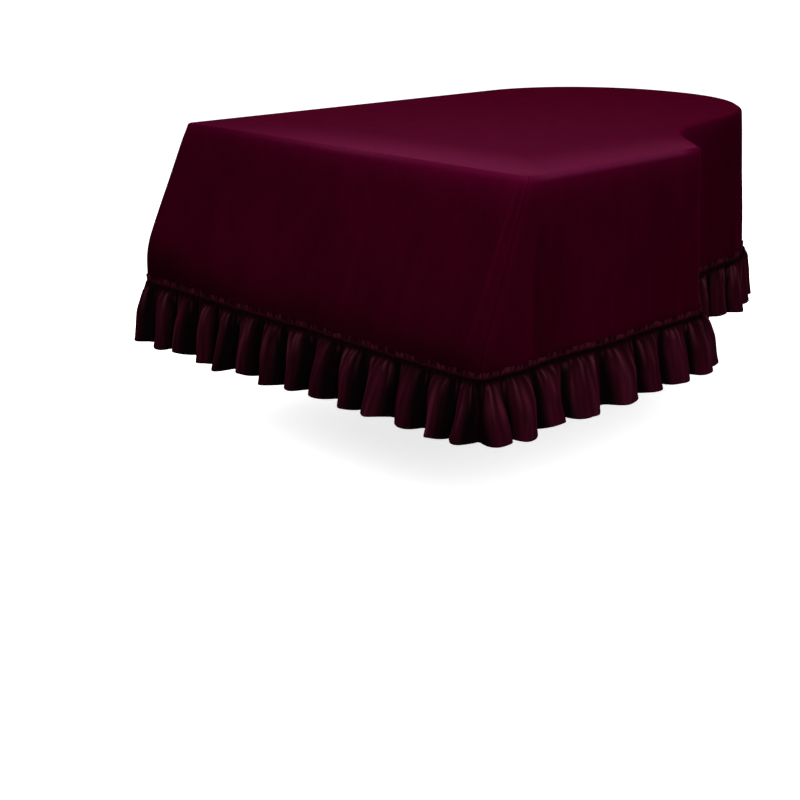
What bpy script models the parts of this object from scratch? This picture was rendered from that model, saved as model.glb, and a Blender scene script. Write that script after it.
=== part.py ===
"""Fitted velvet cover for a grand piano, as it hangs from the closed lid.

The cover is hollow. A flat top is cut to the lid's outline, five skirt panels hang from
its edge, and a gathered flounce in five strips is lapped over the skirts' lower edges.
Metres. +X runs along the keyboard to the treble side, +Y to the tail and +Z up. The origin
is on the underside of the top, at the middle of the lid's width and length. A drop is a
depth below that underside.
"""

import math

import bpy
import numpy as np

# Lid
LID_WIDTH = 1.50
LID_LENGTH = 1.97
CHEEK_LENGTH = 0.76
CORNER_RADIUS = 0.025

# Cloth
CLOTH = 0.002
SEAM_GAP = 0.0005
JOINT_GAP = 0.0018  # between two flounce strips, measured on the flutes' mean line
EDGE_ROLL = 0.010  # inner radius where the skirts turn down over the lid's rim
LAP_GAP = 0.0008  # between a skirt and the flounce that is stitched over it

# Drops, from the lid down
HEADING_DROP = 0.477
GATHER_DROP = 0.499
SKIRT_HEM_DROP = 0.513
HEM_DROP = 0.670

# The front panel's reach over the keyboard: it slants out to the knee, then hangs straight.
# The knee's drop is measured from the foot of the roll
FRONT_REACH = 0.171
KNEE_DROP_BASS = 0.38
KNEE_DROP_TREBLE = 0.45
KNEE_SOFTNESS = 0.05  # half of the bend's height
REACH_FADE = 0.30  # length of each side panel over which the reach dies away

# Flounce
FLUTE_ROUNDING = 0.44  # share of the pitch by which crests widen and valleys narrow
COLUMNS_PER_FLUTE = 7
LAP_END_DROP = SKIRT_HEM_DROP + 0.012  # down to here the flounce lies clear outside the skirt

# Mesh steps
LONGEST_STEP = 0.030
LONGEST_ARC_STEP = 0.026
ARC_STEP_DEG = 14.0
SKIRT_ROWS = 5
ROLL_ROWS = 2
DERIVATIVE_STEP = 1e-4

# The lid's corners, counterclockwise: name, x and y from the bass end of the keyboard, radius
LID_CORNERS = (
    ("keyboard_bass", 0.0, 0.0, CORNER_RADIUS),
    ("keyboard_treble", LID_WIDTH, 0.0, CORNER_RADIUS),
    ("shoulder", LID_WIDTH, CHEEK_LENGTH, 0.065),
    ("waist", 1.205, 1.035, 0.450),
    ("bentside_end", 1.105, 1.620, 0.600),
    ("tail_treble", 0.775, LID_LENGTH, 0.540),
    ("tail_bass", 0.335, LID_LENGTH, 0.500),
    ("spine_end", 0.0, 1.730, 0.475),
)

# The cloth's sides: name, corner where it starts, corner where it ends, and the widths of its
# flounce's flutes, as shares of their mean
SIDES = (
    (
        "front",
        "keyboard_bass",
        "keyboard_treble",
        (1.03, 1.0, 1.05, 1.04, 0.92, 0.98, 0.99, 1.06, 1.09, 1.04, 1.07, 1.02, 0.90, 0.80),
    ),
    ("cheek", "keyboard_treble", "shoulder", (0.78, 0.86, 1.0, 1.2, 1.24, 1.0, 1.0, 0.92)),
    ("bentside", "shoulder", "bentside_end", (0.9, 1.12, 0.95, 1.1, 0.88, 1.05, 1.0, 1.0)),
    (
        "tail",
        "bentside_end",
        "spine_end",
        (1.05, 0.9, 1.1, 0.96, 1.04, 0.88, 1.12, 1.0, 0.94, 1.06, 0.95, 1.0),
    ),
    (
        "spine",
        "spine_end",
        "keyboard_bass",
        (0.95, 1.08, 0.92, 1.1, 1.0, 0.9, 1.06, 1.0, 1.1, 0.93, 1.04, 0.9, 1.07, 0.95),
    ),
)

# The hang at each corner: how far the skirt flares out at its hem, how far the flounce's hem
# leans out beyond that, half of its flutes' depth there, and how much lower than HEM_DROP it is
HANGS = (
    ("keyboard_bass", 0.018, 0.034, 0.024, 0.022),
    ("keyboard_treble", 0.020, 0.042, 0.025, -0.014),
    ("shoulder", 0.030, 0.040, 0.021, -0.010),
    ("waist", 0.055, 0.012, 0.018, -0.006),
    ("bentside_end", 0.043, 0.010, 0.018, 0.000),
    ("tail_treble", 0.045, 0.014, 0.020, 0.000),
    ("tail_bass", 0.048, 0.020, 0.022, 0.004),
    ("spine_end", 0.040, 0.028, 0.024, 0.000),
)

# Soft folds in the skirts: side, place along the side as a share of its length, shift of the
# fold's foot along the side, half-width, height at the hem (a trough is negative)
FOLDS = (
    ("front", 0.12, -0.02, 0.070, -0.004),
    ("front", 0.30, 0.03, 0.110, 0.005),
    ("front", 0.55, 0.02, 0.120, -0.004),
    ("front", 0.78, 0.03, 0.100, 0.005),
    ("front", 0.93, 0.02, 0.050, -0.005),
    ("cheek", 0.11, 0.015, 0.045, 0.008),
    ("cheek", 0.22, 0.02, 0.060, -0.006),
    ("cheek", 0.48, -0.02, 0.090, 0.006),
    ("cheek", 0.74, 0.01, 0.080, -0.006),
    ("bentside", 0.18, 0.02, 0.080, -0.010),
    ("bentside", 0.40, 0.01, 0.080, 0.010),
    ("bentside", 0.62, 0.00, 0.080, -0.009),
    ("bentside", 0.84, 0.01, 0.080, 0.010),
    ("tail", 0.12, 0.01, 0.080, -0.010),
    ("tail", 0.30, -0.01, 0.090, 0.011),
    ("tail", 0.50, 0.01, 0.090, -0.010),
    ("tail", 0.70, 0.00, 0.090, 0.011),
    ("tail", 0.88, 0.01, 0.080, -0.009),
    ("spine", 0.14, 0.02, 0.100, 0.007),
    ("spine", 0.36, -0.02, 0.120, -0.007),
    ("spine", 0.60, 0.02, 0.120, 0.007),
    ("spine", 0.84, 0.00, 0.100, -0.006),
)

# The flounce's section: drop, mean distance out from the skirt, half depth of its flutes, both
# as shares of their values at the hem
FLOUNCE_ROWS = (
    (HEADING_DROP, 0.150, 0.14),
    (GATHER_DROP, 0.010, 0.02),
    (GATHER_DROP + 0.026, 0.330, 0.40),
    (GATHER_DROP + 0.082, 0.680, 0.76),
    (HEM_DROP, 1.000, 1.00),
)

# Unevenness of the flutes, repeated round the flounce: depth, sideways swing of the foot, lift
# of the hem
FLUTE_HABITS = (
    (1.00, 0.006, 0.002),
    (0.88, -0.004, -0.004),
    (1.10, 0.003, 0.005),
    (0.94, 0.009, 0.000),
    (1.06, -0.007, -0.003),
    (0.82, 0.002, 0.004),
    (1.12, -0.003, -0.005),
    (0.97, 0.008, 0.001),
    (1.04, -0.006, 0.003),
    (0.90, 0.004, -0.002),
    (1.08, -0.002, 0.004),
)

# Colours, linear, and roughness of the pile: piece, colour, roughness
VELVETS = {
    "top": ((0.105, 0.0030, 0.026, 1.0), 0.78),
    "skirt": ((0.060, 0.0015, 0.012, 1.0), 0.85),
    "flounce": ((0.078, 0.0030, 0.014, 1.0), 0.82),
}


def clear_scene():
    for item in list(bpy.data.objects):
        bpy.data.objects.remove(item, do_unlink=True)


def smooth(value):
    """Eases from 0 to 1 as the value does."""
    value = np.clip(value, 0.0, 1.0)
    return value * value * (3.0 - 2.0 * value)


# Outline of the lid, by distance along its edge


def trace_corners():
    """For each corner: where its arc starts and ends, its centre, its turn and its radius."""
    points = [np.array((x, y)) for _, x, y, _ in LID_CORNERS]
    traced = []
    for index, (_, _, _, radius) in enumerate(LID_CORNERS):
        here = points[index]
        arriving = here - points[index - 1]
        leaving = points[(index + 1) % len(points)] - here
        arriving = arriving / np.linalg.norm(arriving)
        leaving = leaving / np.linalg.norm(leaving)
        turn = math.atan2(
            arriving[0] * leaving[1] - arriving[1] * leaving[0], float(arriving @ leaving)
        )
        cut = radius * abs(math.tan(turn / 2))
        start = here - arriving * cut
        inward = np.array((-arriving[1], arriving[0])) * math.copysign(radius, turn)
        traced.append((start, here + leaving * cut, start + inward, turn, radius))
    return traced


def outline_runs():
    """Arcs and straight runs in order: (distance where it starts, length, kind, values)."""
    traced = trace_corners()
    runs = []
    middles = {}
    distance = 0.0
    for index, (start, end, centre, turn, radius) in enumerate(traced):
        arc = radius * abs(turn)
        middles[LID_CORNERS[index][0]] = distance + arc / 2
        runs.append((distance, arc, "arc", (start, centre, turn)))
        distance += arc
        following = traced[(index + 1) % len(traced)][0]
        length = float(np.linalg.norm(following - end))
        runs.append((distance, length, "line", (end, (following - end) / length)))
        distance += length
    return runs, middles, distance


RUNS, CORNER_PLACES, PERIMETER = outline_runs()


def edge_point(place):
    """A point of the lid's edge and the outward direction there, in the row's frame."""
    place = place % PERIMETER
    start, length, kind, values = [run for run in RUNS if run[0] <= place + 1e-12][-1]
    share = place - start
    if kind == "line":
        origin, along = values
        point = origin + along * share
    else:
        first, centre, turn = values
        angle = turn * share / length
        spoke = first - centre
        cosine, sine = math.cos(angle), math.sin(angle)
        spoke = np.array(
            (spoke[0] * cosine - spoke[1] * sine, spoke[0] * sine + spoke[1] * cosine)
        )
        point = centre + spoke
        along = np.array((-spoke[1], spoke[0])) / np.linalg.norm(spoke)
        along = along * math.copysign(1.0, turn)
    middle = np.array((LID_WIDTH / 2, LID_LENGTH / 2))
    return point - middle, np.array((along[1], -along[0]))


def side_span(side):
    """Where a side starts and ends along the edge. The end may pass the full perimeter."""
    _, first, last, _ = next(row for row in SIDES if row[0] == side)
    start, end = CORNER_PLACES[first], CORNER_PLACES[last]
    return start, end if end > start else end + PERIMETER


def around(place, other):
    """Signed distance along the edge from one place to another, the short way round."""
    return (place - other + PERIMETER / 2) % PERIMETER - PERIMETER / 2


# The skirt's inner face


def hang_at(place):
    """Flare, lean, flute depth and extra drop at a place, eased between the corners."""
    places = np.array([CORNER_PLACES[row[0]] for row in HANGS])
    index = int(np.searchsorted(places, place % PERIMETER, side="right")) - 1
    following = (index + 1) % len(places)
    gap = (places[following] - places[index]) % PERIMETER
    share = smooth(((place - places[index]) % PERIMETER) / gap)
    here, there = np.array(HANGS[index][1:]), np.array(HANGS[following][1:])
    return here + (there - here) * share


def reach_share(place):
    """1 along the front, dying away along the two sides next to it."""
    bass, treble = CORNER_PLACES["keyboard_bass"], CORNER_PLACES["keyboard_treble"]
    past_treble = around(place, treble)
    before_bass = around(bass, place)
    if 0 < past_treble < REACH_FADE:
        return 1.0 - float(smooth(past_treble / REACH_FADE))
    if 0 < before_bass < REACH_FADE:
        return 1.0 - float(smooth(before_bass / REACH_FADE))
    return 1.0 if bass <= place % PERIMETER <= treble else 0.0


def reach_profile(place, fall):
    """Share of the reach at a fall: straight out to the knee, then level, with a soft bend."""
    start, end = side_span("front")
    share = float(np.clip(around(place, start) / (end - start), 0.0, 1.0))
    knee = KNEE_DROP_BASS + (KNEE_DROP_TREBLE - KNEE_DROP_BASS) * share
    low = knee - KNEE_SOFTNESS
    high = knee + KNEE_SOFTNESS
    if fall <= low:
        return fall / knee
    if fall >= high:
        return 1.0
    eased = (fall - low) / (high - low)
    return (low + (high - low) * (eased - eased * eased / 2)) / knee


def fold_height(place, fall):
    """Sum of the soft folds at a place, each a ridge or trough that deepens with the fall."""
    total = 0.0
    for side, share, shift, half_width, height in FOLDS:
        start, end = side_span(side)
        deepening = fall / SKIRT_HEM_DROP
        foot = start + (end - start) * share + shift * deepening
        offset = around(place, foot) / half_width
        total += height * deepening**1.4 * math.exp(-offset * offset)
    return total


def roll_point(place, turn, radius):
    """A point of the soft bend over the lid's rim, from level at a turn of 0 to upright."""
    point, outward = edge_point(place)
    spoke = np.append(outward * math.sin(turn), math.cos(turn)) * radius
    return np.append(point - outward * EDGE_ROLL, -EDGE_ROLL) + spoke


def skirt_point(place, drop):
    """A point of the skirt's inner face. The flounce follows the same surface further down."""
    point, outward = edge_point(place)
    fall = max(drop - EDGE_ROLL, 0.0)
    out = hang_at(place)[0] * fall / SKIRT_HEM_DROP + fold_height(place, fall)
    reach = FRONT_REACH * reach_share(place) * reach_profile(place, fall)
    point = point + outward * out - np.array((0.0, reach))
    return np.array((point[0], point[1], -drop))


def normal_of(surface, first, second):
    """Outward unit normal of a surface given by a place and a drop."""
    step = DERIVATIVE_STEP
    along = surface(first + step, second) - surface(first - step, second)
    down = surface(first, second + step) - surface(first, second - step)
    normal = np.cross(down, along)
    return normal / np.linalg.norm(normal)


# The flounce's inner face


def hem_lengths(side):
    """Places along a side and the length of the hem's line from its start to each."""
    start, end = side_span(side)
    places = np.linspace(start, end, 400)
    points = []
    for place in places:
        point = skirt_point(place, HEM_DROP)
        points.append(point + hang_at(place)[1] * normal_of(skirt_point, place, HEM_DROP))
    steps = np.linalg.norm(np.diff(np.array(points)[:, :2], axis=0), axis=1)
    return places, np.concatenate(((0.0,), np.cumsum(steps)))


def flute_habit(column, count, first_flute):
    """Depth, swing and lift at a place counted in flutes, eased from flute to flute."""
    crest = column - 0.5
    low = math.floor(crest)
    share = float(smooth(crest - low))
    rows = [
        FLUTE_HABITS[(first_flute + min(max(index, 0), count - 1)) % len(FLUTE_HABITS)]
        for index in (low, low + 1)
    ]
    depth, swing, lift = (a + (b - a) * share for a, b in zip(*rows))
    joint = math.sin(math.pi * min(column, count - column, 0.5))
    return depth, swing * joint, lift * joint


class Flounce:
    """One gathered strip: its flutes run in phase with the column, counted in flutes."""

    def __init__(self, side):
        self.side = side
        widths = np.array(next(row for row in SIDES if row[0] == side)[3])
        self.count = len(widths)
        self.first = sum(len(row[3]) for row in SIDES[: [r[0] for r in SIDES].index(side)])
        self.places, self.lengths = hem_lengths(side)
        self.starts = np.concatenate(((0.0,), np.cumsum(widths)))
        self.starts *= self.lengths[-1] / self.starts[-1]

    def place(self, column, rounding, swing):
        """Place along the lid's edge of a column, drawn towards the valley next to it."""
        mean_width = self.lengths[-1] / self.count
        length = float(np.interp(column, np.arange(self.count + 1), self.starts))
        bunch = rounding * math.sin(2 * math.pi * column) * mean_width / (2 * math.pi)
        length = min(max(length - bunch + swing, 0.0), self.lengths[-1])
        return float(np.interp(length, self.lengths, self.places))

    def point(self, column, drop):
        drops = [row[0] for row in FLOUNCE_ROWS]
        share = (drop - HEADING_DROP) / (HEM_DROP - HEADING_DROP)
        opening = float(np.interp(drop, drops, [row[2] for row in FLOUNCE_ROWS]))
        lean = float(np.interp(drop, drops, [row[1] for row in FLOUNCE_ROWS]))
        depth, swing, lift = flute_habit(column, self.count, self.first)
        place = self.place(column, FLUTE_ROUNDING * opening, swing * share)
        swell = 0.5 - 0.5 * math.cos(2 * math.pi * column)
        _, full_lean, full_depth, lower = hang_at(place)
        half = full_depth * opening * depth
        out = CLOTH + LAP_GAP + full_lean * lean + half * (2 * swell - 1)
        out = max(out, CLOTH + LAP_GAP) if drop <= LAP_END_DROP else out
        normal = normal_of(skirt_point, place, drop)
        level = np.array((normal[0], normal[1], 0.0)) / math.hypot(normal[0], normal[1])
        point = skirt_point(place, drop) + level * out
        return point + np.array((0.0, 0.0, (lift - lower) * share))


# Solids


def sheet_solid(name, inner, outer):
    """A closed sheet from two grids of points, rows downward and columns along the side.

    Both faces are split along the same diagonals, so that the sheet keeps its thickness.
    """
    rows, columns = inner.shape[:2]
    count = rows * columns
    index = np.arange(count).reshape(rows, columns)
    middle = (inner + outer).reshape(-1, 3) / 2
    faces = []
    for row in range(rows - 1):
        for column in range(columns - 1):
            a, b = index[row, column], index[row, column + 1]
            c, d = index[row + 1, column + 1], index[row + 1, column]
            if np.linalg.norm(middle[a] - middle[c]) < np.linalg.norm(middle[b] - middle[d]):
                halves = ((a, b, c), (a, c, d))
            else:
                halves = ((a, b, d), (b, c, d))
            for half in halves:
                faces.append(half)
                faces.append(tuple(count + i for i in half[::-1]))
    rim = list(index[0]) + list(index[1:, -1]) + list(index[-1, -2::-1]) + list(index[-2:0:-1, 0])
    for here, following in zip(rim, rim[1:] + rim[:1]):
        faces.append((following, here, count + here, count + following))
    points = np.concatenate((inner.reshape(-1, 3), outer.reshape(-1, 3)))
    return mesh_object(name, points, faces)


def mesh_object(name, points, faces):
    mesh = bpy.data.meshes.new(name)
    mesh.from_pydata([tuple(p) for p in points], [], [tuple(int(i) for i in f) for f in faces])
    mesh.validate()
    mesh.shade_smooth()
    mesh.set_sharp_from_angle(angle=math.radians(50))
    item = bpy.data.objects.new(name, mesh)
    bpy.context.scene.collection.objects.link(item)
    item.data.materials.append(velvet(name))
    return item


def velvet(name):
    """The pile cloth of one piece."""
    colour, roughness = VELVETS[name.split("_")[0]]
    material = bpy.data.materials.new(name + "_velvet")
    material.use_nodes = True
    shader = material.node_tree.nodes["Principled BSDF"]
    shader.inputs["Base Color"].default_value = colour
    shader.inputs["Roughness"].default_value = roughness
    shader.inputs["Metallic"].default_value = 0.0
    shader.inputs["Sheen Weight"].default_value = 0.6
    shader.inputs["Sheen Roughness"].default_value = 0.35
    material.diffuse_color = colour
    return material


def edge_places(start, end):
    """Places from start to end: even steps on each straight run, closer ones on its arcs."""
    places = [start]
    laps = range(int(start // PERIMETER), int(end // PERIMETER) + 1)
    for lap in laps:
        for first, length, kind, values in RUNS:
            low = max(start, first + lap * PERIMETER)
            high = min(end, first + length + lap * PERIMETER)
            if high - low < 1e-6:
                continue
            step = LONGEST_STEP
            if kind == "arc":
                by_angle = math.radians(ARC_STEP_DEG) * length / abs(values[2])
                step = min(LONGEST_ARC_STEP, by_angle)
            count = max(1, math.ceil((high - low) / step))
            places += [low + (high - low) * (i + 1) / count for i in range(count)]
    return places


def make_top():
    """The top panel: a flat sheet cut to the lid, less the roll of the skirts round it."""
    places = []
    for side, _, _, _ in SIDES:
        start, end = side_span(side)
        places += edge_places(start, end)[:-1]
    outline = []
    for place in places:
        point, outward = edge_point(place)
        outline.append(point - outward * (EDGE_ROLL + SEAM_GAP))
    count = len(outline)
    points = [(x, y, level) for level in (0.0, CLOTH) for x, y in outline]
    faces = [tuple(range(count - 1, -1, -1)), tuple(range(count, 2 * count))]
    for i in range(count):
        j = (i + 1) % count
        faces.append((i, j, count + j, count + i))
    return mesh_object("top_panel", np.array(points), faces)


def make_skirt(side):
    """One skirt panel, from the seam round the top, over the roll and down to its hidden hem."""
    start, end = side_span(side)
    places = edge_places(start + SEAM_GAP / 2, end - SEAM_GAP / 2)
    inner, outer = [], []
    for row in range(ROLL_ROWS):
        turn = math.pi / 2 * row / ROLL_ROWS
        inner.append([roll_point(place, turn, EDGE_ROLL) for place in places])
        outer.append([roll_point(place, turn, EDGE_ROLL + CLOTH) for place in places])
    for row in range(SKIRT_ROWS + 1):
        drop = EDGE_ROLL + (SKIRT_HEM_DROP - EDGE_ROLL) * row / SKIRT_ROWS
        points = np.array([skirt_point(place, drop) for place in places])
        if row == 0:
            normals = np.array([np.append(edge_point(place)[1], 0.0) for place in places])
        else:
            normals = np.array([normal_of(skirt_point, place, drop) for place in places])
        inner.append(points)
        outer.append(points + normals * CLOTH)
    return sheet_solid("skirt_" + side, np.array(inner), np.array(outer))


def make_flounce(side):
    """One gathered strip, with flutes that open from the gather line to the hem."""
    flounce = Flounce(side)
    drops = [row[0] for row in FLOUNCE_ROWS]
    half_gap = JOINT_GAP / 2 * flounce.count / flounce.lengths[-1]
    columns = np.arange(flounce.count * COLUMNS_PER_FLUTE + 1) / COLUMNS_PER_FLUTE
    columns[0] = half_gap
    columns[-1] = flounce.count - half_gap
    inner = np.array([[flounce.point(column, drop) for column in columns] for drop in drops])
    outer = np.empty_like(inner)
    for row, drop in enumerate(drops):
        for column, value in enumerate(columns):
            normal = normal_of(flounce.point, value, drop)
            outer[row, column] = inner[row, column] + normal * CLOTH
    return sheet_solid("flounce_" + side, inner, outer)


def main():
    clear_scene()
    make_top()
    for side, _, _, _ in SIDES:
        make_skirt(side)
        make_flounce(side)


main()
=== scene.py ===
"""The looks of a fitted grand piano cover in burgundy velvet.

The cover hangs as if from a closed lid. Its top is a flat panel, five skirt panels turn down
over the lid's edge, and a gathered flounce in five strips is lapped over their lower edges.
Each cloth piece is a sheet 2 mm thick that follows its solid, with finer folds and gathers.
Metres. +X runs along the keyboard to the treble side, +Y to the tail and +Z up. A drop is a
depth below the top panel's underside.
"""

import math

import bpy
import numpy as np
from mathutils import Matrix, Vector


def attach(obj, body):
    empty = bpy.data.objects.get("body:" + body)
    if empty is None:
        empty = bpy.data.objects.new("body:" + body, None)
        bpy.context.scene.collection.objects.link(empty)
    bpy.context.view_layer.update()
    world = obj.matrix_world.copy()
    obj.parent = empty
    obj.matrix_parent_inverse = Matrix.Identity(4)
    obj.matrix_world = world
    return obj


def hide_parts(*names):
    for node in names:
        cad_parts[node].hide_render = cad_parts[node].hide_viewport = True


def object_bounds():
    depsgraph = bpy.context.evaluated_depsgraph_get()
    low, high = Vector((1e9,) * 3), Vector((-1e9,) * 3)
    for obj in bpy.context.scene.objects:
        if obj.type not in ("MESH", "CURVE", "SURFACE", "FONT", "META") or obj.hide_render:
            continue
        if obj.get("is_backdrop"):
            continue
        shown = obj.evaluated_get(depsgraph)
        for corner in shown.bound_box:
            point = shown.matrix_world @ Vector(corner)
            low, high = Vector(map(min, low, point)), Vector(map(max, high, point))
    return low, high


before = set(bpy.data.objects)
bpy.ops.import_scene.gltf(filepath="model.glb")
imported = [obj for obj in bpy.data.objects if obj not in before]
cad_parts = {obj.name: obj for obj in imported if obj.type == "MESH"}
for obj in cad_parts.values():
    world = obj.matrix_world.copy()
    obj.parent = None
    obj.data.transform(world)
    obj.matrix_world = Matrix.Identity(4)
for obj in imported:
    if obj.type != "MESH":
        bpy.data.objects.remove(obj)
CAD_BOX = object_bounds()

# Lid and cloth, as in the part
LID_WIDTH = 1.50
LID_LENGTH = 1.97
CHEEK_LENGTH = 0.76
CORNER_RADIUS = 0.025
CLOTH = 0.002
SEAM_GAP = 0.0005
JOINT_GAP = 0.0018
EDGE_ROLL = 0.010
LAP_GAP = 0.0004
HEADING_DROP = 0.477
GATHER_DROP = 0.499
SKIRT_HEM_DROP = 0.513
HEM_DROP = 0.670
LAP_END_DROP = SKIRT_HEM_DROP + 0.012
SKIRT_FOOT_DROP = SKIRT_HEM_DROP + 0.008

# The front panel's reach over the keyboard
FRONT_REACH = 0.171
KNEE_DROP_BASS = 0.38
KNEE_DROP_TREBLE = 0.45
KNEE_SOFTNESS = 0.05
REACH_FADE = 0.30

# The lid's corners: name, x and y from the bass end of the keyboard, radius
LID_CORNERS = (
    ("keyboard_bass", 0.0, 0.0, CORNER_RADIUS),
    ("keyboard_treble", LID_WIDTH, 0.0, CORNER_RADIUS),
    ("shoulder", LID_WIDTH, CHEEK_LENGTH, 0.065),
    ("waist", 1.205, 1.035, 0.450),
    ("bentside_end", 1.105, 1.620, 0.600),
    ("tail_treble", 0.775, LID_LENGTH, 0.540),
    ("tail_bass", 0.335, LID_LENGTH, 0.500),
    ("spine_end", 0.0, 1.730, 0.475),
)

# The cloth's sides: name, first and last corner, widths of the flounce's flutes
SIDES = (
    (
        "front",
        "keyboard_bass",
        "keyboard_treble",
        (1.03, 1.0, 1.05, 1.04, 0.92, 0.98, 0.99, 1.06, 1.09, 1.04, 1.07, 1.02, 0.90, 0.80),
    ),
    ("cheek", "keyboard_treble", "shoulder", (0.78, 0.86, 1.0, 1.2, 1.24, 1.0, 1.0, 0.92)),
    ("bentside", "shoulder", "bentside_end", (0.9, 1.12, 0.95, 1.1, 0.88, 1.05, 1.0, 1.0)),
    (
        "tail",
        "bentside_end",
        "spine_end",
        (1.05, 0.9, 1.1, 0.96, 1.04, 0.88, 1.12, 1.0, 0.94, 1.06, 0.95, 1.0),
    ),
    (
        "spine",
        "spine_end",
        "keyboard_bass",
        (0.95, 1.08, 0.92, 1.1, 1.0, 0.9, 1.06, 1.0, 1.1, 0.93, 1.04, 0.9, 1.07, 0.95),
    ),
)

# The hang at each corner: skirt's flare, flounce's lean, half of its flutes' depth, lower hem
HANGS = (
    ("keyboard_bass", 0.018, 0.034, 0.024, 0.022),
    ("keyboard_treble", 0.020, 0.042, 0.025, -0.014),
    ("shoulder", 0.030, 0.040, 0.021, -0.010),
    ("waist", 0.055, 0.012, 0.018, -0.006),
    ("bentside_end", 0.043, 0.010, 0.018, 0.000),
    ("tail_treble", 0.045, 0.014, 0.020, 0.000),
    ("tail_bass", 0.048, 0.020, 0.022, 0.004),
    ("spine_end", 0.040, 0.028, 0.024, 0.000),
)
FLARE = 1
LEAN = 2
HALF_DEPTH = 3
LOWER_HEM = 4

# Soft folds in the skirts: side, share of its length, shift of the foot, half-width, height
FOLDS = (
    ("front", 0.12, -0.02, 0.070, -0.004),
    ("front", 0.30, 0.03, 0.110, 0.005),
    ("front", 0.55, 0.02, 0.120, -0.004),
    ("front", 0.78, 0.03, 0.100, 0.005),
    ("front", 0.93, 0.02, 0.050, -0.005),
    ("cheek", 0.11, 0.015, 0.045, 0.008),
    ("cheek", 0.22, 0.02, 0.060, -0.006),
    ("cheek", 0.48, -0.02, 0.090, 0.006),
    ("cheek", 0.74, 0.01, 0.080, -0.006),
    ("bentside", 0.18, 0.02, 0.080, -0.010),
    ("bentside", 0.40, 0.01, 0.080, 0.010),
    ("bentside", 0.62, 0.00, 0.080, -0.009),
    ("bentside", 0.84, 0.01, 0.080, 0.010),
    ("tail", 0.12, 0.01, 0.080, -0.010),
    ("tail", 0.30, -0.01, 0.090, 0.011),
    ("tail", 0.50, 0.01, 0.090, -0.010),
    ("tail", 0.70, 0.00, 0.090, 0.011),
    ("tail", 0.88, 0.01, 0.080, -0.009),
    ("spine", 0.14, 0.02, 0.100, 0.007),
    ("spine", 0.36, -0.02, 0.120, -0.007),
    ("spine", 0.60, 0.02, 0.120, 0.007),
    ("spine", 0.84, 0.00, 0.100, -0.006),
)

# The flounce's section: drop, share of its lean, share of its flutes' depth
FLOUNCE_ROWS = (
    (HEADING_DROP, 0.055, 0.05),
    (GATHER_DROP - 0.004, 0.000, 0.00),
    (GATHER_DROP + 0.005, 0.010, 0.02),
    (GATHER_DROP + 0.026, 0.320, 0.40),
    (GATHER_DROP + 0.082, 0.680, 0.76),
    (HEM_DROP, 1.000, 1.00),
)
FLUTE_ROUNDING = 0.44

# Unevenness of the flutes, repeated: depth, sideways swing of the foot, lift of the hem
FLUTE_HABITS = (
    (1.00, 0.006, 0.002),
    (0.88, -0.004, -0.004),
    (1.10, 0.003, 0.005),
    (0.94, 0.009, 0.000),
    (1.06, -0.007, -0.003),
    (0.82, 0.002, 0.004),
    (1.12, -0.003, -0.005),
    (0.97, 0.008, 0.001),
    (1.04, -0.006, 0.003),
    (0.90, 0.004, -0.002),
    (1.08, -0.002, 0.004),
)

# Sharp creases in the skirts: side, share of its length at the top and at the foot, drop where
# each starts and ends, half-width, height (a trough is negative)
CREASES = (
    ("front", 0.983, 0.976, 0.01, 0.46, 0.005, 0.0038),
    ("front", 0.991, 0.988, 0.00, 0.16, 0.006, -0.0035),
    ("front", 0.640, 0.655, 0.16, 0.47, 0.020, 0.0016),
    ("front", 0.780, 0.790, 0.14, 0.47, 0.020, -0.0018),
    ("cheek", 0.108, 0.180, 0.10, 0.48, 0.015, -0.0060),
    ("cheek", 0.078, 0.150, 0.10, 0.48, 0.010, 0.0010),
    ("cheek", 0.860, 0.840, 0.12, 0.48, 0.014, -0.0030),
    ("spine", 0.955, 0.930, 0.05, 0.48, 0.014, -0.0040),
    ("tail", 0.200, 0.215, 0.10, 0.48, 0.016, -0.0035),
    ("tail", 0.760, 0.740, 0.08, 0.48, 0.016, -0.0035),
)

# Folds that run down from the gather line: number in each flute, shortest and longest run,
# slant, half-width (both as shares of a flute), height
GATHERS = (6, 0.030, 0.170, 0.10, 0.034, 0.0038)
PLEATS = (3, 0.110, 0.320, 0.20, 0.050, 0.0075)

# Painted shade in the hollows between the flutes: shift towards the next flute, half-width at the
# gather line and at the hem, softness (all as shares of a flute)
HOLLOWS = {
    "front": (-0.10, 0.26, 0.33, 0.26),
    "cheek": (0.12, 0.09, 0.18, 0.18),
    "bentside": (0.00, 0.12, 0.19, 0.18),
    "tail": (0.00, 0.13, 0.21, 0.18),
    "spine": (0.05, 0.13, 0.22, 0.20),
}

# The flutes of each strip: fullness, painted light, strength of their painted streaks of shade, painted
# light on their heading
FLUTE_LOOKS = {
    "front": (1.00, 0.97, 0.66, 0.34),
    "cheek": (1.40, 1.00, 0.40, 0.56),
    "bentside": (1.30, 1.00, 0.40, 0.45),
    "tail": (1.20, 0.92, 0.55, 0.42),
    "spine": (1.10, 0.95, 0.60, 0.40),
}

# Seam allowance of each piece behind the next one: distance past the joint, depth inward
UNDERLAP = (
    (-0.0016, 0.0000),
    (-0.0007, 0.0008),
    (0.0002, 0.0028),
    (0.0040, 0.0034),
    (0.0110, 0.0034),
)

# Seam allowance of the skirts under the top's edge: distance inward, depth
TOP_UNDERLAP = ((0.0110, 0.0034), (0.0040, 0.0034), (0.0005, 0.0028))
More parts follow.
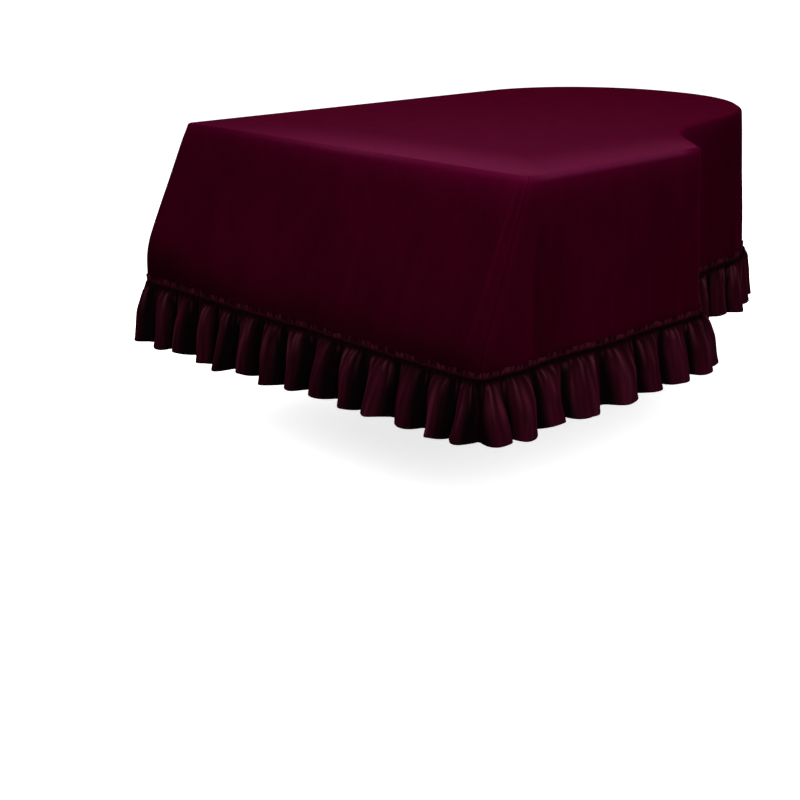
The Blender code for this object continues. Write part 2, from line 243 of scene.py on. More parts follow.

# Patches of painted shade on the skirts, or of painted light if the strength is negative: side,
# share of its length, half-width as such a share, drop, half-height, strength
PAINTED_SHADE_AND_LIGHT_PATCHES = (
    ("front", -0.02, 0.14, 0.500, 0.140, 0.94),
    ("front", 0.17, 0.20, 0.490, 0.100, 0.58),
    ("front", 0.92, 0.11, 0.475, 0.045, 0.50),
    ("front", 0.68, 0.32, 0.470, 0.140, 0.38),
    ("front", 0.50, 1.00, 0.470, 0.050, 0.38),
    ("front", 0.05, 0.35, 0.120, 0.120, 0.18),
    ("front", 1.00, 0.07, 0.340, 0.160, 0.16),
    ("cheek", 0.00, 0.09, 0.475, 0.045, 0.45),
    ("cheek", 0.02, 0.14, 0.340, 0.160, 0.16),
    ("cheek", 0.50, 1.00, 0.480, 0.012, 0.35),
    ("cheek", 0.21, 0.03, 0.330, 0.200, 0.22),
    ("cheek", 0.66, 0.03, 0.360, 0.200, 0.12),
    ("cheek", 0.80, 0.02, 0.300, 0.200, 0.14),
    ("cheek", 1.00, 0.14, 0.400, 0.400, 0.14),
    ("bentside", 0.45, 0.30, 0.300, 3.000, -0.06),
    ("bentside", 1.05, 0.36, 0.300, 3.000, 0.60),
    ("tail", -0.05, 0.50, 0.300, 3.000, 0.60),
    ("spine", 0.50, 1.00, 0.480, 0.020, 0.40),
)

# Painted light under the top's edge: share of its strength at the two ends of each side
EDGE_GLOWS = {
    "front": (0.24, 0.78),
    "cheek": (0.66, 0.55),
    "bentside": (0.55, 0.45),
    "tail": (0.45, 0.35),
    "spine": (0.35, 0.30),
}
EDGE_GLOW_START = 0.006
EDGE_GLOW_DEPTH = 0.026
# Depth at which the rolled edge's painted highlight fades out
RIM_DEPTH = 0.016

# Painted light on the ridge and painted shade in the trough of a crease or a fold of the given height
RIDGE_HEIGHT = 0.004
RIDGE_GLOW = 0.20
TROUGH_SHADE = 0.34
FOLD_HEIGHT = 0.008
FOLD_GLOW = 0.04
FOLD_SHADE = 0.24

# Mesh steps
ARC_STEP = 0.002
ARC_POINTS_LEAST = 24
SKIRT_STEP = 0.0065
SKIRT_ROWS = 76
ROLL_ROWS = 7
FLUTE_COLUMNS = 44
TOP_STEP = 0.0095
TOP_RINGS = (0.0, 0.0012, 0.003, 0.006, 0.010, 0.016, 0.024, 0.034, 0.046, 0.060)
TOP_FAR_RINGS = 24
TOP_RING_SPREAD = 1.25
TOP_HUB = (-0.15, -0.285)
STRIP_SAMPLES = 400
SHARP_ANGLE_DEG = 55

# Rows of a flounce: in the heading, below the gather line, down the flutes, over the hem's edge
HEADING_ROWS = 8
GATHER_ROWS = (0.0015, 0.003, 0.005, 0.008, 0.012, 0.017, 0.023)
BODY_ROWS = 17
BODY_START = GATHER_DROP + 0.030
BODY_END = HEM_DROP - 0.016
HEM_ROWS = (0.013, 0.0115, 0.010, 0.006, 0.0)

# How the folds deepen with the fall, and where along its run a crease fades in and out
FOLD_GROWTH = 1.4
CREASE_FADE_IN = (0.00, 0.25)
CREASE_FADE_OUT = (1.12, 0.82)

# Slow rumples of the skirts: height, waves round the cover, turn with the drop, phase
RUMPLES = (
    (0.0011, 17, 5.0, 0.6),
    (0.0008, 29, -9.0, 2.1),
    (0.0006, 11, 21.0, 1.3),
)
RUMPLE_FADE = (EDGE_ROLL, EDGE_ROLL + 0.05)

# Rumples of the top: height, and the turns with x and y and the phase of its two waves
TOP_RUMPLE_HEIGHT = 0.0009
TOP_RUMPLES = ((7.3, 3.1, 0.4), (-2.3, 5.9, 1.1))
TOP_RUMPLE_FADE = (0.00, 0.05)

# Puckers at the top's seam and over the flounce: waves round the cover and phase, height, reach
SEAM_PUCKERS = ((131, 0.7), (37, 1.9))
SEAM_PUCKER_HEIGHT = 0.0007
SEAM_PUCKER_REACH = 0.035
SEAM_PUCKER_FADE = (0.004, 0.014)
TOP_PUCKER_HEIGHT = 0.0005
TOP_PUCKER_REACH = 0.02
TOP_PUCKER_FADE = (0.000, 0.006)
GATHER_PUCKERS = ((167, 0.0), (59, 0.8))
GATHER_PUCKER_HEIGHT = 0.0010
GATHER_PUCKER_REACH = 0.05

# Small folds below the gather line: how far each one's place, width and height may differ from
# even ones, how many are short, where they rise and end, and how wide each is looked for
SPACING_SHARES = (0.2, 0.8)
WIDTH_SHARES = (0.7, 1.4)
HEIGHT_SHARES = (0.4, 1.3)
SHORT_RUNS = 1.5
SMALL_FOLD_RISE = 0.006
SMALL_FOLD_END = 1.15
SMALL_FOLD_REACH = 4
# How much the width of the painted shade in each hollow may differ, and the seed for all the chances
HOLLOW_SHARES = (0.55, 1.25)
SEED = 7

# Waves along the strips: height, waves in a flute, turn with the run, phase, and share of the
# phase that is each strip's own
RUFFLE_WAVES = ((0.6, 2.7, 0.0, 0.0, 1.0), (0.5, 4.3, 0.0, 0.0, 1.7))
RAGGED_WAVES = ((1.0, 1.31, 0.0, 0.0, 0.0), (0.8, 3.1, 0.0, 1.0, 0.0), (0.6, 6.7, 0.0, 0.0, 0.5))
# The next two rows place painted light along the heading's edge and painted streaks of light and shade
# down the flutes; the others shape the cloth
HEADING_LIGHT_WAVES = ((0.30, 0.83, 0.0, 0.0, 1.0), (0.30, 2.3, 0.0, 0.0, 2.0), (0.34, 5.9, 0.0, 0.0, 0.0))
STREAK_WAVES = ((0.36, 3.3, 1.9, 0.0, 1.0), (0.36, 5.3, -2.6, 0.0, 2.0), (0.288, 8.9, 3.4, 0.7, 0.0))
HEM_WAVES = ((0.0016, 1.7, 0.0, 0.0, 1.0),)
RUFFLE_HEIGHT = 0.0016
RUFFLE_OUT = 0.0006
RAGGED_DEPTH = 0.0022

# Sideways sway of the flutes: height, turns with the drop's share and with the column
SWAY_HEIGHT = 0.003
SWAY_TURNS = (7.0, 2.2)

# The hem steps up and down this much more than on the solid
HEM_LIFT = 1.4

# Drops between which the flounce stops following the skirt's fine surface
FINE_FADE = (LAP_END_DROP + 0.06, LAP_END_DROP)

# The narrow hem, as heights over its edge: stitch line, its width and depth, turned cloth
STITCH_LINE = 0.0115
STITCH_WIDTH = 0.0012
STITCH_DEPTH = 0.0006
TURNED_HEM = (0.0125, 0.0105)
TURNED_CLOTH = 0.0005

# Seam allowance of the strips: held tight above the skirt's foot, full below it
TIGHT_STEP = 0.0002
ALLOWANCE_FADE = (SKIRT_FOOT_DROP + 0.002, SKIRT_FOOT_DROP + 0.012)

# Painted shade and light on the flounces, by depth below the gather line: where each thing starts and is
# full
HOLLOW_FADE = (0.000, 0.012)
FLUTE_FADE = (0.000, 0.020)
RIDGE_FADE = (0.004, 0.018)
RIDGE_RUN = 0.03
RIDGE_DYING = 0.08
GROOVE_TOP = (-0.010, -0.003)
GROOVE_FOOT = (0.016, 0.002)
UNDER_DEPTH = 0.036
LIT_EDGE = (-0.007, -0.015)

# How strong that painted shade and light is, and how much of the shade a painted ridge highlight takes
# away
RIDGE_GAIN = 1.3
RIDGE_LEAST = 0.35
PLEAT_FULL = 0.8
RIDGE_IN_HOLLOW = 0.3
RIDGE_IN_GROOVE = 0.5
JOINT_FADE = 0.1
HOLLOW_SHADE = 0.98
GROOVE_SHADE = 0.92
UNDER_SHADE = 0.72
HEADING_PAINTED_SHADE = 0.80
HEADING_PAINTED_LIGHT = 0.35
CREST_GLOW = 0.42
PLEAT_SHARE = 0.55

# Painted light on the top: how far it eases across from the bass side, how strong it is towards the
# keyboard and along the near edges, what of it is left on the bass side, and how wide its bands are
TREBLE_RUN = 1.1
FORWARD_GLOW = 0.32
FORWARD_BASS_SHARE = 0.45
NEAR_EDGE_GLOW = 0.54
FRONT_BASS_SHARE = 0.06
FRONT_BAND = 0.32
CHEEK_EDGE_SHARE = 0.78
CHEEK_BAND = 0.28
CHEEK_BAND_START = (0.00, -0.25)
# How much less light is painted at the near corner, and how far that reaches
CORNER_SHADE = 0.35
CORNER_REACH = 0.055

# Painted highlight on the rolled edge, by share of the side's length
RIM_BASE = 0.35
RIM_FADE = 0.011
CHEEK_RIM_RISE = (0.00, 0.10)
CHEEK_RIM_FALL = (0.97, 0.85)
FRONT_RIM_RISE = (0.10, 0.35)
FRONT_RIM_MIDDLE = 0.55
FRONT_RIM_HALF_WIDTH = 0.14
FRONT_RIM_GLOW = 0.55

CAMERA_PLACE = (2.9901, -3.5762, 0.5726)
CAMERA_PITCH_DEG = 18.868
CAMERA_YAW_DEG = 46.317
CAMERA_LENS = 60.63
CAMERA_FAR_END = 400.0

# Lights: name, place, aim, size, power
LIGHTS = (
    ("key", (-2.2, -4.6, 2.6), (0.0, -0.8, -0.3), 2.5, 74.0),
    ("fill", (3.8, -2.8, 1.6), (0.6, -0.7, -0.3), 2.2, 157.0),
    ("overhead", (0.2, -0.7, 4.2), (0.0, -0.2, 0.0), 3.5, 150.0),
    ("back", (-3.6, 3.4, 2.0), (-0.3, 0.5, -0.3), 3.0, 150.0),
)
WORLD_LIGHT = 0.55

# The floor: level, radius and height of its rings, corners of a ring, colour and own light
FLOOR_LEVEL = -1.0
FLOOR_RINGS = ((0.5, 0.0), (30.0, 0.0), (45.0, 0.0), (52.0, 1.0), (58.0, 5.0), (62.0, 12.0), (64.0, 45.0))
FLOOR_CORNERS = 96
FLOOR_GREY = 0.80
FLOOR_ROUGHNESS = 0.9
FLOOR_GLOW = 0.74


def smooth(value):
    """Eases from 0 to 1 as the value does."""
    value = np.clip(value, 0.0, 1.0)
    return value * value * (3.0 - 2.0 * value)


def ease(value, start, end):
    """Eases from 0 to 1 as the value goes from start to end."""
    return smooth((value - start) / (end - start))


def bell(value):
    """1 at zero, dying away to both sides."""
    return np.exp(-value * value)


# Outline of the lid, by distance along its edge


def trace_outline():
    """Samples of the edge's arcs: place, x, y and outward direction. Runs between are straight."""
    points = [np.array(row[1:3]) for row in LID_CORNERS]
    middle = np.array((LID_WIDTH / 2, LID_LENGTH / 2))
    samples, places = [], {}
    distance, last = 0.0, None
    for index, (name, _, _, radius) in enumerate(LID_CORNERS):
        here = points[index]
        arriving = here - points[index - 1]
        leaving = points[(index + 1) % len(points)] - here
        arriving = arriving / np.linalg.norm(arriving)
        leaving = leaving / np.linalg.norm(leaving)
        turn = math.atan2(arriving[0] * leaving[1] - arriving[1] * leaving[0], arriving @ leaving)
        start = here - arriving * radius * abs(math.tan(turn / 2))
        centre = start + np.array((-arriving[1], arriving[0])) * math.copysign(radius, turn)
        if last is not None:
            distance += float(np.linalg.norm(start - last))
        arc = radius * abs(turn)
        places[name] = distance + arc / 2
        for share in np.linspace(0.0, 1.0, max(ARC_POINTS_LEAST, int(arc / ARC_STEP))):
            cosine, sine = math.cos(turn * share), math.sin(turn * share)
            spoke = start - centre
            spoke = np.array((spoke[0] * cosine - spoke[1] * sine, spoke[0] * sine + spoke[1] * cosine))
            outward = spoke / radius * math.copysign(1.0, turn)
            last = centre + spoke
            samples.append((distance + arc * share, *(last - middle), *outward))
        distance += arc
    first = np.array(samples[0][1:3]) + middle
    return np.array(samples), places, distance + float(np.linalg.norm(first - last))


OUTLINE, CORNER_PLACES, PERIMETER = trace_outline()


def edge(place):
    """Points of the lid's edge and the outward directions there."""
    columns = [np.interp(place, OUTLINE[:, 0], OUTLINE[:, k], period=PERIMETER) for k in range(1, 5)]
    outward = np.stack(columns[2:], -1)
    return np.stack(columns[:2], -1), outward / np.linalg.norm(outward, axis=-1, keepdims=True)


def side_span(side):
    """Where a side starts and ends along the edge. The end may pass the full perimeter."""
    _, first, last, _ = next(row for row in SIDES if row[0] == side)
    start, end = CORNER_PLACES[first], CORNER_PLACES[last]
    return start, end if end > start else end + PERIMETER


def around(place, other):
    """Signed distance along the edge from one place to another, the short way round."""
    return (place - other + PERIMETER / 2) % PERIMETER - PERIMETER / 2


# The skirt's inner face


def hang(place, what):
    """One value of HANGS at each place, eased between the corners."""
    places = np.array([CORNER_PLACES[row[0]] for row in HANGS])
    values = np.array([row[what] for row in HANGS])
    index = np.searchsorted(places, place % PERIMETER, side="right") - 1
    following = (index + 1) % len(places)
    gap = (places[following] - places[index]) % PERIMETER
    share = smooth(((place - places[index]) % PERIMETER) / gap)
    return values[index] + (values[following] - values[index]) * share


def reach_share(place):
    """1 along the front, dying away along the two sides next to it."""
    past_treble = around(place, CORNER_PLACES["keyboard_treble"])
    before_bass = around(CORNER_PLACES["keyboard_bass"], place)
    share = np.where(past_treble <= 0, 1.0, 1.0 - smooth(past_treble / REACH_FADE))
    beyond = (past_treble > REACH_FADE) | (before_bass > 0)
    share = np.where(beyond, 0.0, share)
    near_bass = (before_bass > 0) & (before_bass < REACH_FADE)
    return np.where(near_bass, 1.0 - smooth(before_bass / REACH_FADE), share)


def reach_profile(place, fall):
    """Share of the reach at a fall: straight out to the knee, then level, with a soft bend."""
    start, end = side_span("front")
    share = np.clip(around(place, start) / (end - start), 0.0, 1.0)
    knee = KNEE_DROP_BASS + (KNEE_DROP_TREBLE - KNEE_DROP_BASS) * share
    eased = np.clip((fall - knee + KNEE_SOFTNESS) / (2 * KNEE_SOFTNESS), 0.0, 1.0)
    bend = knee - KNEE_SOFTNESS + 2 * KNEE_SOFTNESS * (eased - eased * eased / 2)
    return np.where(fall < knee - KNEE_SOFTNESS, fall, bend) / knee


def folds(place, fall):
    """Sum of the soft folds, each a ridge or trough that deepens with the fall."""
    deepening = fall / SKIRT_HEM_DROP
    total = 0.0
    for side, share, shift, half_width, height in FOLDS:
        start, end = side_span(side)
        offset = around(place, start + (end - start) * share + shift * deepening) / half_width
        total = total + height * deepening**FOLD_GROWTH * bell(offset)
    return total


def creases(place, drop):
    """Sum of the sharper creases, which run slantwise and fade out at both ends."""
    total = 0.0
    for side, share, foot_share, top, foot, half_width, height in CREASES:
        start, end = side_span(side)
        run = (drop - top) / (foot - top)
        line = start + (end - start) * (share + (foot_share - share) * run)
        fade = ease(run, *CREASE_FADE_IN) * ease(run, *CREASE_FADE_OUT)
        total = total + height * fade * bell(around(place, line) / half_width)
    return total


def puckers(place, rows):
    """Product of waves round the cover, so that puckers come in uneven bunches."""
    turn = 2 * math.pi / PERIMETER
    product = 1.0
    for waves, phase in rows:
        product = product * np.sin(turn * waves * place + phase)
    return product


def rumples(place, drop):
    """Slow unevenness of hanging cloth, and little puckers at its upper seam and at the gathers."""
    turn = 2 * math.pi / PERIMETER
    slow = 0.0
    for height, waves, drift, phase in RUMPLES:
        slow = slow + height * np.sin(turn * waves * place + drift * drop + phase)
    near_seam = np.exp(-np.maximum(drop - EDGE_ROLL, 0.0) / SEAM_PUCKER_REACH)
    near_gather = np.exp(-np.maximum(HEADING_DROP - drop, 0.0) / GATHER_PUCKER_REACH)
    seam = SEAM_PUCKER_HEIGHT * puckers(place, SEAM_PUCKERS) * near_seam
    gather = GATHER_PUCKER_HEIGHT * puckers(place, GATHER_PUCKERS) * near_gather
    return slow * ease(drop, *RUMPLE_FADE) + seam * ease(drop, *SEAM_PUCKER_FADE) + gather


def skirt(place, drop, fine=1.0):
    """Points of the skirt's inner face. The flounce follows the same surface further down."""
    place, drop = np.broadcast_arrays(place, drop)
    point, outward = edge(place)
    fall = np.maximum(drop - EDGE_ROLL, 0.0)
    out = hang(place, FLARE) * fall / SKIRT_HEM_DROP + folds(place, fall)
    out = out + fine * (creases(place, drop) + rumples(place, drop))
    reach = FRONT_REACH * reach_share(place) * reach_profile(place, fall)
    point = point + outward * out[..., None]
    return np.stack((point[..., 0], point[..., 1] - reach, -drop), -1)


# The flounce's inner face


class Flounce:
    """One gathered strip: its flutes run in phase with the column, counted in flutes."""

    def __init__(self, side):
        self.side = side
        names = [row[0] for row in SIDES]
        widths = np.array(SIDES[names.index(side)][3])
        self.count = len(widths)
        self.first = sum(len(row[3]) for row in SIDES[: names.index(side)])
        start, end = side_span(side)
        self.places = np.linspace(start, end, STRIP_SAMPLES)
        level = self.level(self.places, HEM_DROP)
        hem = skirt(self.places, HEM_DROP, 0.0)[:, :2] + hang(self.places, LEAN)[:, None] * level
        steps = np.linalg.norm(np.diff(hem, axis=0), axis=1)
        self.lengths = np.concatenate(((0.0,), np.cumsum(steps)))
        self.starts = np.concatenate(((0.0,), np.cumsum(widths)))
        self.starts *= self.lengths[-1] / self.starts[-1]
        chance = np.random.default_rng(SEED + self.first)
        self.gathers = self.scatter(chance, *GATHERS)
        least, most = HOLLOW_SHARES
        self.hollow_shade_widths = least + (most - least) * chance.random(self.count + 1)
        self.pleats = self.scatter(chance, *PLEATS)

    def scatter(self, chance, number, shortest, longest, lean, width, rise):
        """Small folds of this strip: column, sideways slant, run down, half-width, height."""

        def between(low, high):
            return low + (high - low) * chance.random()

        rows = []
        for flute in range(self.count):
            for index in range(number):
                column = flute + (index + between(*SPACING_SHARES)) / number
                slant = between(-lean / 2, lean / 2)
                run = shortest + (longest - shortest) * chance.random() ** SHORT_RUNS
                half_width = width * between(*WIDTH_SHARES)
                height = rise * between(*HEIGHT_SHARES)
                rows.append((column, slant, run, half_width, height))
        return rows

    def waves(self, column, rows, run=0.0):
        """Sum of waves along the strip."""
        total = 0.0
        for height, rate, drift, phase, own in rows:
            angle = 2 * math.pi * rate * column + drift * run + phase + own * self.first
            total = total + height * np.sin(angle)
        return total

    @staticmethod
    def level(place, drop):
        """The skirt's outward direction, level with the floor."""
        step = 1e-4
        along = skirt(place + step, drop, 0.0) - skirt(place - step, drop, 0.0)
        outward = np.stack((along[..., 1], -along[..., 0]), -1)
        return outward / np.linalg.norm(outward, axis=-1, keepdims=True)

    def habit(self, column):
        """Depth, swing and lift at each column, eased from flute to flute."""
        crest = column - 0.5
        low = np.floor(crest).astype(int)
        share = smooth(crest - low)
        table = np.array(FLUTE_HABITS)
        here = table[(self.first + np.clip(low, 0, self.count - 1)) % len(table)]
        there = table[(self.first + np.clip(low + 1, 0, self.count - 1)) % len(table)]
        mixed = here + (there - here) * share[..., None]
        nearest_joint = np.minimum(np.minimum(column, self.count - column), 0.5)
        joint = np.sin(math.pi * np.maximum(nearest_joint, 0.0))
        return mixed[..., 0], mixed[..., 1] * joint, mixed[..., 2] * joint

    @staticmethod
    def relief(small_folds, column, drop):
        """Height of small folds below the gather line."""
        below = np.maximum(drop - GATHER_DROP, 0.0)
        total = np.zeros(np.broadcast(column, drop).shape)
        for centre, slant, run, half_width, height in small_folds:
            near = np.abs(column[0] - centre) < SMALL_FOLD_REACH * half_width + abs(slant)
            share = below[:, near] / run
            offset = (column[:, near] - centre - slant * share) / (half_width * (1.0 + share))
            fade = smooth(below[:, near] / SMALL_FOLD_RISE) * smooth(SMALL_FOLD_END - share)
            total[:, near] += height * fade * bell(offset)
        return total

    def place(self, column, opening, sway):
        """Where along the lid's edge each column hangs. Round flutes crowd columns at their sides."""
        mean_width = self.lengths[-1] / self.count
        crowding = FLUTE_ROUNDING * opening * np.sin(2 * math.pi * column) * mean_width / (2 * math.pi)
        length = np.interp(column, np.arange(self.count + 1), self.starts) - crowding
        length = np.clip(length + sway, 0.0, self.lengths[-1])
        return np.interp(length, self.lengths, self.places)

    def grid(self, columns, drops):
        """Points of the strip's inner face, rows downward."""
        column, drop = np.meshgrid(columns, drops)
        fade = joint_fade(column, self.count)
        rows = np.array(FLOUNCE_ROWS)
        lean = smooth_interp(drop, rows[:, 0], rows[:, 1])
        opening = smooth_interp(drop, rows[:, 0], rows[:, 2])
        depth, swing, lift = self.habit(column)
        share = (drop - HEADING_DROP) / (HEM_DROP - HEADING_DROP)
        by_share, by_column = SWAY_TURNS
        sway = swing * share + SWAY_HEIGHT * np.sin(by_share * share + by_column * column) * fade
        place = self.place(column, opening, sway)
        swell = 0.5 - 0.5 * np.cos(2 * math.pi * column)
        swell = 1.0 - (1.0 - swell) ** FLUTE_LOOKS[self.side][0]
        half = hang(place, HALF_DEPTH) * opening * depth
        out = CLOTH + LAP_GAP + hang(place, LEAN) * lean + half * (2 * swell - 1)
        small = self.relief(self.gathers, column, drop) + self.relief(self.pleats, column, drop)
        above = np.clip((GATHER_DROP - drop) / (GATHER_DROP - HEADING_DROP), 0.0, 1.0)
        ruffle = (RUFFLE_HEIGHT * self.waves(column, RUFFLE_WAVES) + RUFFLE_OUT) * above
        ragged = RAGGED_DEPTH * self.waves(column, RAGGED_WAVES) * above
        out = out + (small + ruffle) * fade
        out = np.where(drop <= LAP_END_DROP, np.maximum(out, CLOTH + LAP_GAP), out)
        points = skirt(place, drop, ease(drop, *FINE_FADE))
        points[..., :2] += self.level(place, drop) * out[..., None]
        uneven = HEM_LIFT * lift + self.waves(column, HEM_WAVES) * fade
        points[..., 2] += (uneven - hang(place, LOWER_HEM)) * share - ragged
        return points

    def hollow(self, column, run):
        """1 where shade is painted in the hollows between flutes, which open downward from the gather
        line, and at the strips' ends.
        """
        shift, at_gather, at_hem, softness = HOLLOWS[self.side]
        nearest = np.clip(np.round(column - shift), 0, self.count).astype(int)
        half_width = (at_gather + (at_hem - at_gather) * run) * self.hollow_shade_widths[nearest]
        dark = smooth((half_width - np.abs(column - shift - nearest)) / softness + 0.5)
        return np.maximum(dark, 1.0 - joint_fade(column, self.count))

    def shades(self, column, drop):
        """Painted light and shade on the pile: painted shade in hollows, groove and under the gathers,
        painted highlights on ridges and crests, a broken painted light along the heading's edge.
        """
        below = drop - GATHER_DROP
        run = np.clip(below / (HEM_DROP - GATHER_DROP), 0.0, 1.0)
        _, brightness, streak_shade, heading_light_level = FLUTE_LOOKS[self.side]
        hollow = self.hollow(column, run) * ease(below, *HOLLOW_FADE)
        ridge = RIDGE_GAIN * self.relief(self.gathers, column, drop) / GATHERS[-1]
        dying = np.exp(-np.maximum(below - RIDGE_RUN, 0.0) / RIDGE_DYING)
        ridge = smooth(ridge - RIDGE_LEAST) * ease(below, *RIDGE_FADE) * dying
        pleat = smooth(self.relief(self.pleats, column, drop) / (PLEAT_FULL * PLEATS[-1]))
        streak = smooth(0.5 + self.waves(column, STREAK_WAVES, run))
        crest = PLEAT_SHARE * pleat + (1.0 - PLEAT_SHARE) * streak
        groove = ease(below, *GROOVE_TOP) * ease(below, *GROOVE_FOOT)
        under = bell(np.maximum(below, 0.0) / UNDER_DEPTH) * (below > 0)
        # Painted light in patches along the heading's edge, with painted shade between them
        heading_lit_patch = smooth(heading_light_level + self.waves(column, HEADING_LIGHT_WAVES))
        lit_edge = ease(below, *LIT_EDGE)
        on_flutes = ease(below, *FLUTE_FADE)
        light = 1.0 - HOLLOW_SHADE * hollow * (1.0 - RIDGE_IN_HOLLOW * ridge)
        light = light * (1.0 - GROOVE_SHADE * groove * (1.0 - RIDGE_IN_GROOVE * ridge))
        light = light * (1.0 - UNDER_SHADE * under * (1.0 - ridge))
        light = light * (1.0 - HEADING_PAINTED_SHADE * lit_edge * (1.0 - heading_lit_patch))
        light = light * (1.0 - streak_shade * (1.0 - crest) * on_flutes)
        glow = np.maximum(ridge, HEADING_PAINTED_LIGHT * lit_edge * heading_lit_patch)
        glow = np.maximum(glow, CREST_GLOW * crest * crest * on_flutes)
        return {"glow": glow * brightness, "shade": 1.0 - light * brightness}


def joint_fade(column, count):
    """0 where two strips meet, 1 a small share of a flute away."""
    return smooth(np.minimum(column, count - column) / JOINT_FADE)


def smooth_interp(value, places, values):
    """Interpolates a short table without corners, by averaging over a small neighbourhood."""
    reach = 0.006
    shifts = (-1.0, -0.5, 0.0, 0.5, 1.0)
    return sum(np.interp(value + shift * reach, places, values) for shift in shifts) / len(shifts)


# Meshes

# Which way a face looks, by the order of its four corners
OUTWARD = (0, 1, 2, 3)
INWARD = (3, 2, 1, 0)
DOWNWARD = (0, 3, 2, 1)


def face_normals(grid):
    """Unit normals of a grid of points with rows downward, pointing out of the cover."""
    down = np.gradient(grid, axis=0)
    along = np.gradient(grid, axis=1)
    normal = np.cross(down, along)
    return normal / np.linalg.norm(normal, axis=-1, keepdims=True)


def quads(index, order):
    """Faces of a grid of point numbers, each with its corners in the given order."""
    corners = (index[:-1, :-1], index[:-1, 1:], index[1:, 1:], index[1:, :-1])
    return np.stack([corners[k] for k in order], -1).reshape(-1, 4)


def closed_rings(rings, columns):
    """Point numbers of rings one inside the next, with the first column repeated at the end."""
    index = np.arange(rings * columns).reshape(rings, columns)
    return np.concatenate((index, index[:, :1]), 1)


def sheet_mesh(name, inner, outer, shades):
    """A closed sheet from two grids of points, with its shading values as point attributes."""
    rows, columns = inner.shape[:2]
    count = rows * columns
    index = np.arange(count).reshape(rows, columns)
    rim = np.concatenate((index[0], index[1:, -1], index[-1, -2::-1], index[-2:0:-1, 0]))
    following = np.roll(rim, -1)
    wall = np.stack((following, rim, count + rim, count + following), -1)
    faces = np.concatenate((quads(index, OUTWARD), quads(index + count, INWARD), wall))
    return mesh_object(name, inner, outer, faces.tolist(), shades)


def mesh_object(name, inner, outer, faces, shades):
    """A mesh of two equal grids of points, whose shading values both grids share."""
    mesh = bpy.data.meshes.new(name)
    points = np.concatenate((inner.reshape(-1, 3), outer.reshape(-1, 3)))
    mesh.from_pydata(points.tolist(), [], faces)
    for key, value in shades.items():
        attribute = mesh.attributes.new(key, "FLOAT", "POINT")
        attribute.data.foreach_set("value", np.tile(value.reshape(-1), 2).astype(np.float32))
    mesh.shade_smooth()
    mesh.set_sharp_from_angle(angle=math.radians(SHARP_ANGLE_DEG))
    item = bpy.data.objects.new(name, mesh)
    bpy.context.scene.collection.objects.link(item)
    return item


def top_grid():
    """Places along the edge, rings of points from the cut edge to the hub, distance from the cut."""
    places = np.linspace(0.0, PERIMETER, int(PERIMETER / TOP_STEP), endpoint=False)
    point, outward = edge(places)
    cut = point - outward * (EDGE_ROLL + SEAM_GAP)
    last_near = TOP_RINGS[-1]
    spread = np.linspace(0.0, 1.0, TOP_FAR_RINGS + 2)[1:-1] ** TOP_RING_SPREAD
    far = last_near + (1.0 - last_near) * spread
    shares = np.concatenate((TOP_RINGS, far))
    grid = cut[None] + (np.array(TOP_HUB) - cut)[None] * shares[:, None, None]
    return places, grid, np.linalg.norm(grid - cut[None], axis=-1)


def top_height(places, x, y, inset):
    """Faint rumples of the flat cloth, and puckers along its seam."""
    height = TOP_RUMPLE_HEIGHT
    for by_x, by_y, phase in TOP_RUMPLES:
        height = height * np.sin(by_x * x + by_y * y + phase)
    height = (TOP_RUMPLE_HEIGHT + height) * ease(inset, *TOP_RUMPLE_FADE)
    near_seam = np.exp(-inset / TOP_PUCKER_REACH) * ease(inset, *TOP_PUCKER_FADE)
    return height + TOP_PUCKER_HEIGHT * (1 + puckers(places, SEAM_PUCKERS)) * near_seam


def top_glow(x, y):
    """Painted light on the top's pile: brighter forward, to the treble side and along the near edges,
    less at the near corner.
    """
    from_front, from_cheek = y + LID_LENGTH / 2, LID_WIDTH / 2 - x
    treble = smooth((x + LID_WIDTH / 2) / TREBLE_RUN)
    forward = np.clip(0.5 - y / LID_LENGTH, 0.0, 1.0)
    forward = forward * (FORWARD_BASS_SHARE + (1.0 - FORWARD_BASS_SHARE) * treble)
    front = smooth(1.0 - from_front / FRONT_BAND)
    front = front * (FRONT_BASS_SHARE + (1.0 - FRONT_BASS_SHARE) * treble)
    cheek = smooth(1.0 - from_cheek / CHEEK_BAND) * ease(y, *CHEEK_BAND_START)
    glow = FORWARD_GLOW * forward + NEAR_EDGE_GLOW * np.maximum(front, CHEEK_EDGE_SHARE * cheek)
    return glow * (1.0 - CORNER_SHADE * bell(np.hypot(from_cheek, from_front) / CORNER_REACH))


def make_top():
    """The top panel: a flat sheet cut to the lid, with faint rumples and puckers at its seam."""
    places, grid, inset = top_grid()
    x, y = grid[..., 0], grid[..., 1]
    height = top_height(places, x, y, inset)
    index = closed_rings(*height.shape)
    count = height.size
    wall = np.stack((index[0, 1:] + count, index[0, :-1] + count, index[0, :-1], index[0, 1:]), -1)
    faces = np.concatenate((quads(index, DOWNWARD), quads(index + count, OUTWARD), wall)).tolist()
    hub = index[-1, :-1]
    faces += [hub[::-1].tolist(), (hub + count).tolist()]
    # Painted light on the top, carried by the glow attribute
    shades = {"glow": top_glow(x, y), "shade": np.zeros_like(x)}
    inner, outer = np.dstack((x, y, height)), np.dstack((x, y, height + CLOTH))
    return mesh_object("top_panel_velvet", inner, outer, faces, shades)


def roll_rows(places):
    """Grids over the lid's rim: each place turns down as far as its skirt's own slope."""
    below = 0.02
    start, end = skirt(places, EDGE_ROLL, 0.0), skirt(places, EDGE_ROLL + below, 0.0)
    point, outward = edge(places)
    rate = np.sum((end - start)[:, :2] * outward, -1) / below
    last_turn = math.pi / 2 - np.arctan(np.maximum(rate, 0.0))
    turns = np.linspace(0.0, 1.0, ROLL_ROWS + 1)[:, None] * last_turn[None]
    spoke = np.dstack((outward[None] * np.sin(turns)[..., None], np.cos(turns)))
    centre = np.column_stack((point - outward * EDGE_ROLL, np.full(len(places), -EDGE_ROLL)))
    return centre[None], spoke, last_turn


